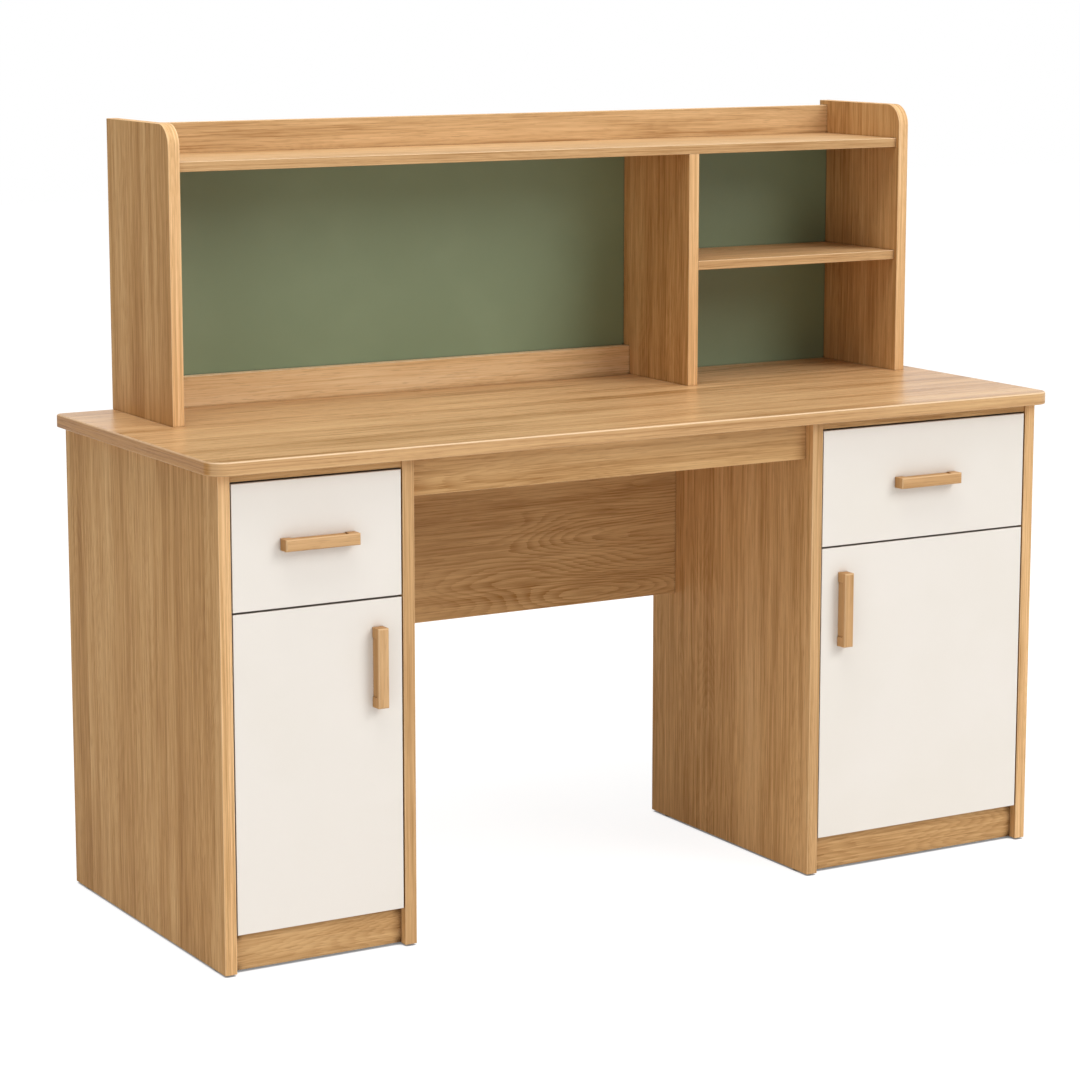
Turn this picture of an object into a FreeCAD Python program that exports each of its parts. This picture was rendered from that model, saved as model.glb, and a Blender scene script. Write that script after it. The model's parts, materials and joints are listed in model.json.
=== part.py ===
import FreeCAD, Part
import math
import os
from FreeCAD import Vector

# Student desk with hutch. Millimetres, X to the right, Y to the back, Z up.
# The origin is on the floor, under the middle of the worktop.

# Worktop
desk_height = 750.0
worktop_width = 1490.0
worktop_depth = 580.0
worktop_thickness = 20.0
worktop_front_corner = 28.0
worktop_rear_corner = 12.0
worktop_top_round = 3.0
worktop_under_round = 1.5
end_overhang = 18.0
front_overhang = 22.0

# Boards
side_thickness = 19.0
shelf_thickness = 15.0
back_thickness = 5.0
edge_round = 1.0

# Pedestals, which differ in width, and what stands between them
left_pedestal_width = 311.0
right_pedestal_width = 439.0
inner_side_depth = 460.0
cupboard_floor_top = 57.5
cupboard_shelf_rise = 240.0
cupboard_shelf_setback = 62.0
plinth_setback = 14.0
plinth_lift = 4.0
top_rail_height = 13.0
top_rail_depth = 80.0
top_rail_setback = 3.0
apron_height = 60.0
apron_setback = 20.0
modesty_height = 337.0
modesty_setback = 392.0

# Floor glides, two under each side
glide_height = 3.0
glide_radius = 7.5
glide_tip_round = 1.0
glide_inset = 40.0

# Drawer fronts and doors, inset between the sides
front_thickness = 18.0
front_reveal = 1.0
front_gap = 2.0
front_back_gap = 2.0
drawer_front_height = 184.0
drawer_top_gap = 2.5
drawer_door_gap = 3.0
drawer_shelf_gap = 1.5
door_floor_gap = 2.0

# Handles with a finger slot in both long sides
handle_length = 118.0
handle_width = 17.0
handle_projection = 20.0
handle_chamfer = 1.5
handle_lip = 4.0
handle_slot_length = 88.0
handle_slot_depth = 4.0
handle_slot_door_depth = 0.8
handle_slot_corner = 6.0
door_handle_edge = 40.0
door_handle_drop = 40.0

# Drawer boxes
drawer_length = 400.0
drawer_side_thickness = 12.0
drawer_side_height = 118.0
drawer_bottom_thickness = 4.0
drawer_groove_depth = 5.0
drawer_groove_rise = 10.0
drawer_groove_play = 0.2

# Roller runners: a channel on the pedestal's side and a rail under the drawer's side
runner_space = 12.5
runner_gauge = 1.2
runner_height = 32.0
runner_channel_width = 9.0
runner_front_gap = 3.0
runner_lift = 3.0
rail_seat_rise = 3.0
rail_track_rise = 24.0
rail_track_wall_gap = 2.0
roller_radius = 10.0
roller_width = 6.0
roller_wall_gap = 2.8
roller_end_inset = 16.0
roller_edge_chamfer = 0.8
axle_radius = 2.5
axle_head_radius = 4.0
axle_head_thickness = 0.8
axle_end_play = 0.2
track_clearance = 0.3
running_clearance = 0.05

# Concealed cup hinges
hinge_end_inset = 80.0
hinge_axis_inset = 24.0
hinge_axis_depth = 9.0
hinge_pin_radius = 1.6
hinge_eye_radius = 3.2
hinge_arm_gauge = 2.4
hinge_arm_width = 12.0
hinge_arm_clearance = 0.4
hinge_arm_exit_degrees = 44.3
hinge_arm_knee_x_share = 0.36
hinge_arm_knee_y_share = 0.30
hinge_foot_length = 46.0
hinge_plate_height = 48.0
hinge_plate_margin = 7.0
cup_centre_inset = 22.0
cup_bore_radius = 17.5
cup_bore_depth = 13.6
cup_gauge = 0.8
cup_fit = 0.1
cup_flange_thickness = 1.0
cup_flange_radius = 19.5
cup_lug_height = 56.0
cup_lug_width = 13.0

# Hutch on the worktop
hutch_height = 450.0
hutch_depth = 230.0
hutch_left_inset = 97.0
hutch_right_inset = 37.0
hutch_side_corner = 34.0
hutch_setback = 8.0
hutch_shelf_drop = 56.0
hutch_back_inset = 7.0
hutch_back_thickness = 15.0
hutch_right_bay = 396.0
small_shelf_rise = 204.5
gallery_rail_height = 48.0
bottom_rail_height = 48.0

# Overrun of every cut, and how near an edge must lie to a plane to be picked
overrun = 1.0
touch = 0.01

# Places worked out from the sizes above
worktop_left = -worktop_width / 2
worktop_right = worktop_width / 2
worktop_front = -worktop_depth / 2
worktop_rear = worktop_depth / 2
underside = desk_height - worktop_thickness
carcass_front = worktop_front + front_overhang
carcass_left = worktop_left + end_overhang
carcass_right = worktop_right - end_overhang
left_knee = carcass_left + left_pedestal_width
right_knee = carcass_right - right_pedestal_width
inner_rear = carcass_front + inner_side_depth

front_face = carcass_front + front_reveal
front_back = front_face + front_thickness
board_front = front_back + front_back_gap
back_panel_front = inner_rear - back_thickness
drawer_front_top = underside - top_rail_height - drawer_top_gap
drawer_front_bottom = drawer_front_top - drawer_front_height
door_top = drawer_front_bottom - drawer_door_gap
door_bottom = cupboard_floor_top + door_floor_gap
drawer_shelf_bottom = door_top + drawer_shelf_gap
drawer_shelf_top = drawer_shelf_bottom + shelf_thickness
cupboard_floor_bottom = cupboard_floor_top - side_thickness
plinth_front = carcass_front + plinth_setback
plinth_back = plinth_front + side_thickness

channel_bottom = drawer_shelf_top + runner_lift
rail_bottom = channel_bottom + rail_seat_rise
drawer_side_bottom = rail_bottom + runner_gauge
drawer_side_top = drawer_side_bottom + drawer_side_height
drawer_rear = front_back + drawer_length
runner_length = drawer_length
drawer_floor = drawer_side_bottom + drawer_groove_rise
track_bottom = channel_bottom + rail_track_rise
channel_front = front_back + runner_front_gap
front_roller_y = channel_front + roller_end_inset
front_roller_z = track_bottom - track_clearance - roller_radius
rear_roller_y = drawer_rear - roller_end_inset
rear_roller_z = channel_bottom + runner_gauge + track_clearance + roller_radius

hutch_left = worktop_left + hutch_left_inset
hutch_right = worktop_right - hutch_right_inset
hutch_rear = worktop_rear
hutch_front = hutch_rear - hutch_depth
hutch_top = desk_height + hutch_height
hutch_inner_left = hutch_left + side_thickness
hutch_inner_right = hutch_right - side_thickness
hutch_shelf_front = hutch_front + hutch_setback
hutch_shelf_top = hutch_top - hutch_shelf_drop
hutch_shelf_bottom = hutch_shelf_top - shelf_thickness
hutch_back_rear = hutch_rear - hutch_back_inset
hutch_back_front = hutch_back_rear - hutch_back_thickness
divider_right = hutch_inner_right - hutch_right_bay
divider_left = divider_right - side_thickness


def board(x0, x1, y0, y1, z0, z1):
    return Part.makeBox(x1 - x0, y1 - y0, z1 - z0, Vector(x0, y0, z0))


def edges_at(shape, x=None, y=None, z=None):
    # Edges that lie in every plane that is given.
    picked = []
    for edge in shape.Edges:
        box = edge.BoundBox
        spans = ((box.XMin, box.XMax, x), (box.YMin, box.YMax, y), (box.ZMin, box.ZMax, z))
        if all(at is None or max(abs(low - at), abs(high - at)) < touch for low, high, at in spans):
            picked.append(edge)
    return picked


def eased_upright(x0, x1, y0, y1, z0, z1):
    # A standing board whose two long front edges are rounded.
    plain = board(x0, x1, y0, y1, z0, z1)
    return plain.makeFillet(edge_round, edges_at(plain, x=x0, y=y0) + edges_at(plain, x=x1, y=y0))


def eased_shelf(x0, x1, y0, y1, z0, z1):
    # A lying board whose two long front edges are rounded.
    plain = board(x0, x1, y0, y1, z0, z1)
    return plain.makeFillet(edge_round, edges_at(plain, y=y0, z=z0) + edges_at(plain, y=y0, z=z1))


def eased_rail(x0, x1, y0, y1, z0, z1, free_z):
    # A rail on edge, rounded along the one long side that is free.
    plain = board(x0, x1, y0, y1, z0, z1)
    return plain.makeFillet(edge_round, edges_at(plain, y=y0, z=free_z) + edges_at(plain, y=y1, z=free_z))


def eased_front(x0, x1, z0, z1):
    # A drawer front or door, rounded round its front face.
    plain = board(x0, x1, front_face, front_back, z0, z1)
    return plain.makeFillet(edge_round, edges_at(plain, y=front_face))


def prism(points, direction):
    # A closed outline pushed along a direction.
    outline = Part.makePolygon(points + points[:1])
    return Part.Face(outline).extrude(direction)


def handed(shape, wall_x, hand):
    # Places a shape made against a wall at x = 0: hand 1 keeps it, hand -1 mirrors it.
    if hand < 0:
        shape = shape.mirror(Vector(), Vector(1, 0, 0))
    return shape.translated(Vector(wall_x, 0, 0))


def worktop():
    top = board(worktop_left, worktop_right, worktop_front, worktop_rear, underside, desk_height)
    for y, radius in ((worktop_front, worktop_front_corner), (worktop_rear, worktop_rear_corner)):
        corners = edges_at(top, x=worktop_left, y=y) + edges_at(top, x=worktop_right, y=y)
        top = top.makeFillet(radius, corners)
    top = top.makeFillet(worktop_top_round, edges_at(top, z=desk_height))
    return top.makeFillet(worktop_under_round, edges_at(top, z=underside))


def side_panel(x0, rear):
    return eased_upright(x0, x0 + side_thickness, carcass_front, rear, glide_height, underside)


def glides():
    # Turned nylon discs under the side panels, near their front and rear ends.
    outline = [
        Vector(0, 0, 0),
        Vector(glide_radius - glide_tip_round, 0, 0),
        Vector(glide_radius, 0, glide_tip_round),
        Vector(glide_radius, 0, glide_height),
        Vector(0, 0, glide_height),
    ]
    section = Part.Face(Part.makePolygon(outline + outline[:1]))
    glide = section.revolve(Vector(), Vector(0, 0, 1), 360)
    rears = {
        carcass_left: worktop_rear,
        left_knee - side_thickness: inner_rear,
        right_knee: inner_rear,
        carcass_right - side_thickness: worktop_rear,
    }
    placed = []
    for x0, rear in rears.items():
        for y in (carcass_front + glide_inset, rear - glide_inset):
            placed.append(glide.translated(Vector(x0 + side_thickness / 2, y, 0)))
    return Part.makeCompound(placed)


def top_rail(x0, x1):
    front = carcass_front + top_rail_setback
    plain = board(x0, x1, front, front + top_rail_depth, underside - top_rail_height, underside)
    return plain.makeFillet(edge_round, edges_at(plain, y=front, z=underside - top_rail_height))


def drawer_shelf(x0, x1):
    return board(x0, x1, board_front, back_panel_front, drawer_shelf_bottom, drawer_shelf_top)


def cupboard_floor(x0, x1):
    return board(x0, x1, plinth_back, back_panel_front, cupboard_floor_bottom, cupboard_floor_top)


def cupboard_shelf(x0, x1):
    # Stands back from the door, clear of the edge that swings in.
    top = cupboard_floor_top + cupboard_shelf_rise
    front = carcass_front + cupboard_shelf_setback
    return eased_shelf(x0, x1, front, back_panel_front, top - shelf_thickness, top)


def plinth(x0, x1):
    plain = board(x0, x1, plinth_front, plinth_back, plinth_lift, cupboard_floor_top)
    return plain.makeFillet(edge_round, edges_at(plain, y=plinth_front, z=cupboard_floor_top))


def back_panel(x0, x1):
    return board(x0, x1, back_panel_front, inner_rear, cupboard_floor_bottom, underside)


def apron():
    front = carcass_front + apron_setback
    bottom = underside - apron_height
    return eased_rail(left_knee, right_knee, front, front + side_thickness, bottom, underside, bottom)


def modesty_panel():
    front = carcass_front + modesty_setback
    bottom = underside - modesty_height
    return eased_rail(left_knee, right_knee, front, front + side_thickness, bottom, underside, bottom)


def finger_slot():
    # The room for finger tips in the upper side of a bar: deepest behind the front lip, shallow at the door.
    face = handle_width / 2
    lip_back = handle_lip - handle_projection
    x0, x1 = -handle_slot_length / 2, handle_slot_length / 2
    outline = [
        Vector(x0, lip_back, face + overrun),
        Vector(x0, lip_back, face - handle_slot_depth),
        Vector(x0, overrun, face - handle_slot_door_depth),
        Vector(x0, overrun, face + overrun),
    ]
    slot = prism(outline, Vector(x1 - x0, 0, 0))
    ends = edges_at(slot, x=x0, y=lip_back) + edges_at(slot, x=x1, y=lip_back)
    return slot.makeFillet(handle_slot_corner, ends)


def handle_bar():
    # A bar lying along X against y = 0, standing out towards -Y, with both finger slots.
    bar = board(
        -handle_length / 2, handle_length / 2, -handle_projection, 0, -handle_width / 2, handle_width / 2
    )
    bar = bar.makeChamfer(handle_chamfer, edges_at(bar, y=-handle_projection))
    slot = finger_slot()
    return bar.cut([slot, slot.mirror(Vector(), Vector(0, 0, 1))])


def drawer_handle(x0, x1):
    middle_z = (drawer_front_bottom + drawer_front_top) / 2
    return handle_bar().translated(Vector((x0 + x1) / 2, front_face, middle_z))


def door_handle(free_x, hand):
    # Stands upright beside the free edge of the door.
    upright = handle_bar()
    upright.rotate(Vector(), Vector(0, 1, 0), 90)
    middle_z = door_top - door_handle_drop - handle_length / 2
    return upright.translated(Vector(free_x + hand * door_handle_edge, front_face, middle_z))


def drawer_front(x0, x1):
    return eased_front(x0 + front_gap, x1 - front_gap, drawer_front_bottom, drawer_front_top)


def drawer_side(wall_x, hand):
    # Grooved along its inner face for the bottom panel.
    outer = runner_space
    inner = outer + drawer_side_thickness
    side = board(outer, inner, front_back, drawer_rear, drawer_side_bottom, drawer_side_top)
    groove_top = drawer_floor + drawer_bottom_thickness + drawer_groove_play
    groove = board(
        inner - drawer_groove_depth, inner + overrun, front_back - overrun, drawer_rear + overrun,
        drawer_floor, groove_top
    )
    return handed(side.cut(groove), wall_x, hand)


def drawer_inside(x0, x1):
    edge = runner_space + drawer_side_thickness
    return x0 + edge, x1 - edge


def drawer_back(x0, x1):
    inner_left, inner_right = drawer_inside(x0, x1)
    front = drawer_rear - drawer_side_thickness
    bottom = drawer_floor + drawer_bottom_thickness
    return board(inner_left, inner_right, front, drawer_rear, bottom, drawer_side_top)


def drawer_bottom(x0, x1):
    inner_left, inner_right = drawer_inside(x0, x1)
    reach = drawer_groove_depth - drawer_groove_play
    top = drawer_floor + drawer_bottom_thickness
    return board(inner_left - reach, inner_right + reach, front_back, drawer_rear, drawer_floor, top)


def axle(from_x, to_x, y, z):
    # A rivet along X whose head ends at to_x.
    toward = 1 if to_x > from_x else -1
    shank = Part.makeCylinder(axle_radius, abs(to_x - from_x), Vector(from_x, y, z), Vector(toward, 0, 0))
    head_start = Vector(to_x - toward * axle_head_thickness, y, z)
    head = Part.makeCylinder(axle_head_radius, axle_head_thickness, head_start, Vector(toward, 0, 0))
    return shank.fuse(head)


def channel(wall_x, hand):
    # The pedestal's channel, with the rivet that carries its front roller.
    width, height, gauge = runner_channel_width, runner_height, runner_gauge
    section = [(0, 0), (width, 0), (width, gauge), (gauge, gauge)]
    section += [(gauge, height - gauge), (width, height - gauge), (width, height), (0, height)]
    points = [Vector(x, channel_front, channel_bottom + z) for x, z in section]
    profile = prism(points, Vector(0, runner_length, 0))
    head_end = roller_wall_gap + roller_width + axle_end_play + axle_head_thickness
    rivet = axle(gauge / 2, head_end, front_roller_y, front_roller_z)
    return handed(profile.fuse(rivet).removeSplitter(), wall_x, hand)


def rail(wall_x, hand):
    # The drawer's rail: a seat under the drawer's side, a web, and the track over the front roller.
    web_out = runner_space - runner_gauge
    web_in = runner_space
    seat_end = runner_space + drawer_side_thickness
    track_top = track_bottom + runner_gauge
    section = [(web_out, rail_bottom), (seat_end, rail_bottom), (seat_end, drawer_side_bottom)]
    section += [(web_in, drawer_side_bottom), (web_in, track_top), (rail_track_wall_gap, track_top)]
    section += [(rail_track_wall_gap, track_bottom), (web_out, track_bottom)]
    points = [Vector(x, front_back, z) for x, z in section]
    profile = prism(points, Vector(0, drawer_length, 0))
    head_end = roller_wall_gap - axle_end_play - axle_head_thickness
    rivet = axle(runner_space - runner_gauge / 2, head_end, rear_roller_y, rear_roller_z)
    return handed(profile.fuse(rivet).removeSplitter(), wall_x, hand)


def roller(wall_x, hand, y, z):
    # A turned wheel on its rivet, with both rims bevelled.
    bore = axle_radius + running_clearance
    rim = roller_radius - roller_edge_chamfer
    end = roller_wall_gap + roller_width
    outline = [
        Vector(roller_wall_gap, y + bore, z),
        Vector(roller_wall_gap, y + rim, z),
        Vector(roller_wall_gap + roller_edge_chamfer, y + roller_radius, z),
        Vector(end - roller_edge_chamfer, y + roller_radius, z),
        Vector(end, y + rim, z),
        Vector(end, y + bore, z),
    ]
    section = Part.Face(Part.makePolygon(outline + outline[:1]))
    return handed(section.revolve(Vector(0, y, z), Vector(1, 0, 0), 360), wall_x, hand)


def both_walls(x0, x1, make, *extra):
    # The same piece on the left and the right wall of a pedestal.
    return Part.makeCompound([make(x0, 1, *extra), make(x1, -1, *extra)])


def hinge_heights():
    return door_bottom + hinge_end_inset, door_top - hinge_end_inset


def hinge_axis_y():
    return front_face + hinge_axis_depth


def cup_inner_radius():
    return cup_bore_radius - cup_fit - cup_gauge


def hinge_arm():
    # A strip bent in a gooseneck round the path of the door's edge, in plan, with the pin at the origin.
    wall = -(hinge_axis_inset + front_gap)
    half = hinge_arm_gauge / 2
    edge_reach = math.hypot(hinge_axis_inset, max(hinge_axis_depth, front_thickness - hinge_axis_depth))
    bend = edge_reach + hinge_arm_clearance + half
    knee = Vector(hinge_arm_knee_x_share, hinge_arm_knee_y_share, 0) * cup_inner_radius()
    exit_turn = math.radians(hinge_arm_exit_degrees)
    middle_turn = (exit_turn + math.pi / 2) / 2
    exit_point = Vector(bend * math.cos(exit_turn), bend * math.sin(exit_turn), 0)
    middle = Vector(bend * math.cos(middle_turn), bend * math.sin(middle_turn), 0)
    crest = Vector(0, bend, 0)
    foot_start = Vector(wall + half, bend, 0)
    foot_end = Vector(wall + half, bend + hinge_foot_length, 0)
    path = Part.Wire([
        Part.LineSegment(Vector(), knee).toShape(),
        Part.LineSegment(knee, exit_point).toShape(),
        Part.Arc(exit_point, middle, crest).toShape(),
        Part.LineSegment(crest, foot_start).toShape(),
        Part.LineSegment(foot_start, foot_end).toShape(),
    ])
    outline = path.makeOffset2D(half, 0, False, False)
    low = Vector(0, 0, -hinge_arm_width / 2)
    up = Vector(0, 0, hinge_arm_width)
    strip = Part.Face(outline).translated(low).extrude(up)
    eye = Part.makeCylinder(hinge_eye_radius, hinge_arm_width, low)
    bore_length = hinge_arm_width + 2 * overrun
    bore_start = Vector(0, 0, -bore_length / 2)
    bore = Part.makeCylinder(hinge_pin_radius + running_clearance, bore_length, bore_start)
    plate = board(
        wall, wall + hinge_arm_gauge, bend + hinge_plate_margin, bend + hinge_foot_length,
        -hinge_plate_height / 2, hinge_plate_height / 2
    )
    return strip.fuse([eye, plate]).cut(bore).removeSplitter()


def hinge_cup():
    # A drawn cup with a flange and screw lugs on the door's back, in plan with the pin at the origin.
    centre_x = cup_centre_inset - hinge_axis_inset
    back = front_thickness - hinge_axis_depth
    outer = cup_bore_radius - cup_fit
    floor = back - cup_bore_depth + cup_fit
    along = Vector(0, 1, 0)
    depth = back - floor
    shell = Part.makeCylinder(outer, depth, Vector(centre_x, floor, 0), along)
    flange = Part.makeCylinder(cup_flange_radius, cup_flange_thickness, Vector(centre_x, back, 0), along)
    lug = board(
        centre_x - cup_lug_width / 2, centre_x + cup_lug_width / 2, back, back + cup_flange_thickness,
        -cup_lug_height / 2, cup_lug_height / 2
    )
    hollow_start = Vector(centre_x, floor + cup_gauge, 0)
    hollow = Part.makeCylinder(cup_inner_radius(), depth + overrun, hollow_start, along)
    hole_length = 2 * (outer + overrun)
    hole_start = Vector(0, 0, -hole_length / 2)
    hole = Part.makeCylinder(hinge_pin_radius + running_clearance, hole_length, hole_start)
    return shell.fuse([flange, lug]).cut([hollow, hole]).removeSplitter()


def hinge_pin():
    # Reaches into both walls of the cup, and ends clear of the door's bore.
    far_side = abs(hinge_axis_inset - cup_centre_inset) + hinge_pin_radius
    half = math.sqrt((cup_bore_radius - cup_fit) ** 2 - far_side ** 2) - cup_fit
    return Part.makeCylinder(hinge_pin_radius, 2 * half, Vector(0, 0, -half))


def at_hinges(piece, wall_x, hand):
    # Both hinges of a door: pin lines measured from the wall that carries the door.
    from_wall = front_gap + hinge_axis_inset
    placed = []
    for z in hinge_heights():
        placed.append(handed(piece.translated(Vector(from_wall, hinge_axis_y(), z)), wall_x, hand))
    return Part.makeCompound(placed)


def door(x0, x1, wall_x, hand):
    panel = eased_front(x0 + front_gap, x1 - front_gap, door_bottom, door_top)
    centre_x = wall_x + hand * (front_gap + cup_centre_inset)
    for z in hinge_heights():
        start = Vector(centre_x, front_back - cup_bore_depth, z)
        bore = Part.makeCylinder(cup_bore_radius, cup_bore_depth + overrun, start, Vector(0, 1, 0))
        panel = panel.cut(bore)
    return panel


def hutch_side(x0):
    x1 = x0 + side_thickness
    side = board(x0, x1, hutch_front, hutch_rear, desk_height, hutch_top)
    side = side.makeFillet(hutch_side_corner, edges_at(side, y=hutch_front, z=hutch_top))
    rim = []
    for x in (x0, x1):
        for edge in edges_at(side, x=x):
            box = edge.BoundBox
            standing_on_top = box.ZMax < desk_height + touch
            at_rear = box.YMin > hutch_rear - touch
            if not standing_on_top and not at_rear:
                rim.append(edge)
    return side.makeFillet(edge_round, rim)


def hutch_pieces():
    rail_front = hutch_back_front - side_thickness
    small_top = desk_height + small_shelf_rise
    gallery_top = hutch_shelf_top + gallery_rail_height
    bottom_rail_top = desk_height + bottom_rail_height
    return {
        "hutch_left_side": hutch_side(hutch_left),
        "hutch_right_side": hutch_side(hutch_inner_right),
        "hutch_top_shelf": eased_shelf(
            hutch_inner_left, hutch_inner_right, hutch_shelf_front, hutch_back_rear,
            hutch_shelf_bottom, hutch_shelf_top),
        "hutch_gallery_rail": eased_rail(
            hutch_inner_left, hutch_inner_right, hutch_back_front, hutch_back_rear,
            hutch_shelf_top, gallery_top, gallery_top),
        "hutch_divider": eased_upright(
            divider_left, divider_right, hutch_shelf_front, hutch_back_front,
            desk_height, hutch_shelf_bottom),
        "hutch_small_shelf": eased_shelf(
            divider_right, hutch_inner_right, hutch_shelf_front, hutch_back_front,
            small_top - shelf_thickness, small_top),
        "hutch_bottom_rail": eased_rail(
            hutch_inner_left, divider_left, rail_front, hutch_back_front,
            desk_height, bottom_rail_top, bottom_rail_top),
        "hutch_back_panel": board(
            hutch_inner_left, hutch_inner_right, hutch_back_front, hutch_back_rear,
            desk_height, hutch_shelf_bottom),
    }


def desk_pieces():
    return {
        "worktop": worktop(),
        "left_outer_side": side_panel(carcass_left, worktop_rear),
        "left_inner_side": side_panel(left_knee - side_thickness, inner_rear),
        "right_inner_side": side_panel(right_knee, inner_rear),
        "right_outer_side": side_panel(carcass_right - side_thickness, worktop_rear),
        "apron": apron(),
        "modesty_panel": modesty_panel(),
        "floor_glides": glides(),
    }


def pedestal_pieces(name, x0, x1, hand):
    # Everything between two side panels: x0 and x1 are their inner faces, hand 1 hangs the door at x0.
    hung_x, free_x = (x0, x1) if hand > 0 else (x1, x0)
    free_edge = free_x - hand * front_gap
    pieces = {
        "top_rail": top_rail(x0, x1),
        "drawer_shelf": drawer_shelf(x0, x1),
        "cupboard_floor": cupboard_floor(x0, x1),
        "cupboard_shelf": cupboard_shelf(x0, x1),
        "plinth": plinth(x0, x1),
        "back_panel": back_panel(x0, x1),
        "runner_channels": both_walls(x0, x1, channel),
        "front_rollers": both_walls(x0, x1, roller, front_roller_y, front_roller_z),
        "drawer_front": drawer_front(x0, x1),
        "drawer_left_side": drawer_side(x0, 1),
        "drawer_right_side": drawer_side(x1, -1),
        "drawer_back": drawer_back(x0, x1),
        "drawer_bottom": drawer_bottom(x0, x1),
        "drawer_handle": drawer_handle(x0, x1),
        "drawer_rails": both_walls(x0, x1, rail),
        "rear_rollers": both_walls(x0, x1, roller, rear_roller_y, rear_roller_z),
        "hinge_arms": at_hinges(hinge_arm(), hung_x, hand),
        "hinge_cups": at_hinges(hinge_cup(), hung_x, hand),
        "hinge_pins": at_hinges(hinge_pin(), hung_x, hand),
        "door": door(x0, x1, hung_x, hand),
        "door_handle": door_handle(free_edge, -hand),
    }
    return {f"{name}_{piece}": shape for piece, shape in pieces.items()}


def all_pieces():
    pieces = desk_pieces()
    pieces.update(pedestal_pieces("left", carcass_left + side_thickness, left_knee - side_thickness, 1))
    pieces.update(pedestal_pieces("right", right_knee + side_thickness, carcass_right - side_thickness, -1))
    pieces.update(hutch_pieces())
    return pieces


os.makedirs("parts", exist_ok=True)
for node, shape in all_pieces().items():
    shape.exportStep(f"parts/{node}.step")
    print(node, len(shape.Solids), "solid" if shape.isValid() else "not valid", round(shape.Volume))
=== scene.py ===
import json
import math
import bpy
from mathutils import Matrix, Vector

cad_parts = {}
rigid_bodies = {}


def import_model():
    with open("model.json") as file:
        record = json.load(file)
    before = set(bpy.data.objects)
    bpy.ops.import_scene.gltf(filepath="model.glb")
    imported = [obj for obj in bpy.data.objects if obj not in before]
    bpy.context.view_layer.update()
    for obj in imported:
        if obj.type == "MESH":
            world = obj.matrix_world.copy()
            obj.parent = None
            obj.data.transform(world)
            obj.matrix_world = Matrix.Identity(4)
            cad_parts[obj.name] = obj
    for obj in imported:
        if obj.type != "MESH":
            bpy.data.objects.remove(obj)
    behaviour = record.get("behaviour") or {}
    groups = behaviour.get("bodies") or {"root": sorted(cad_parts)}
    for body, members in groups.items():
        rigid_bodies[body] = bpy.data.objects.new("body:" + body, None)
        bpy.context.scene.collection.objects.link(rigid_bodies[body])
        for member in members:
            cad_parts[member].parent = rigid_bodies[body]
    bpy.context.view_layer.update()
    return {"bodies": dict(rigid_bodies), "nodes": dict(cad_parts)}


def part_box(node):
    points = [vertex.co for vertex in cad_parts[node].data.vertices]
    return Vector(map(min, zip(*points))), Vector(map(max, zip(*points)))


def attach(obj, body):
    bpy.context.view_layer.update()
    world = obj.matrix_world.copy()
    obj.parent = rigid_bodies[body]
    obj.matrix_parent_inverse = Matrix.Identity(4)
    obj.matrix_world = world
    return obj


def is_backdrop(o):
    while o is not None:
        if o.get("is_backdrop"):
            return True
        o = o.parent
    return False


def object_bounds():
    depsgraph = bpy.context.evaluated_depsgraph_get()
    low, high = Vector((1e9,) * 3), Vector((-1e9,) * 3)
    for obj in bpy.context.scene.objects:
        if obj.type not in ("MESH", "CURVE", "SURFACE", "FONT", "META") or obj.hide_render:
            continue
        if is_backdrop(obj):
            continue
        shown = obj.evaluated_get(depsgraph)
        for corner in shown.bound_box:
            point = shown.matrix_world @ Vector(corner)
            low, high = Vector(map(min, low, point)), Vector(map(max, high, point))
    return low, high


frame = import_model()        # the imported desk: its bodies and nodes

nodes = frame["nodes"]
kept = set(nodes.values()) | set(frame["bodies"].values())
for leftover in [thing for thing in bpy.data.objects if thing not in kept]:
    bpy.data.objects.remove(leftover)


# Small helpers for node trees

screenCurve = {"top": 255, "straightTo": 0.04045, "straightSlope": 12.92, "offset": 0.055, "power": 2.4}
noiseMiddle = 0.5
mixSockets = {"RGBA": (6, 7, 2), "VECTOR": (4, 5, 1)}    # a Mix node's two inputs and its result


def paint(red, green, blue):
    # a screen colour, 0 to 255, as the linear colour that a shader takes
    def channel(value):
        share = value / screenCurve["top"]
        if share <= screenCurve["straightTo"]:
            return share / screenCurve["straightSlope"]
        return ((share + screenCurve["offset"]) / (1 + screenCurve["offset"])) ** screenCurve["power"]
    return (channel(red), channel(green), channel(blue), 1.0)


def grey(level):
    return (level, level, level, 1.0)


def feed(tree, value, socket):
    # a socket is linked, a number or tuple is set
    if isinstance(value, bpy.types.NodeSocket):
        tree.links.new(value, socket)
    else:
        socket.default_value = value


def operationNode(tree, kind, operation, values):
    node = tree.nodes.new(kind)
    node.operation = operation
    for socket, value in zip(node.inputs, values):
        feed(tree, value, socket)
    return node.outputs


def calc(tree, operation, *values):
    return operationNode(tree, "ShaderNodeMath", operation, values)[0]


def vectorCalc(tree, operation, *values):
    result = "Value" if operation == "DOT_PRODUCT" else "Vector"
    return operationNode(tree, "ShaderNodeVectorMath", operation, values)[result]


def spread(tree, value, low, high, newLow=0.0, newHigh=1.0):
    # a smooth step of value from low..high to newLow..newHigh
    node = tree.nodes.new("ShaderNodeMapRange")
    node.interpolation_type = "SMOOTHSTEP"
    for name, amount in (("Value", value), ("From Min", low), ("From Max", high),
                         ("To Min", newLow), ("To Max", newHigh)):
        feed(tree, amount, node.inputs[name])
    return node.outputs["Result"]


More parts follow.
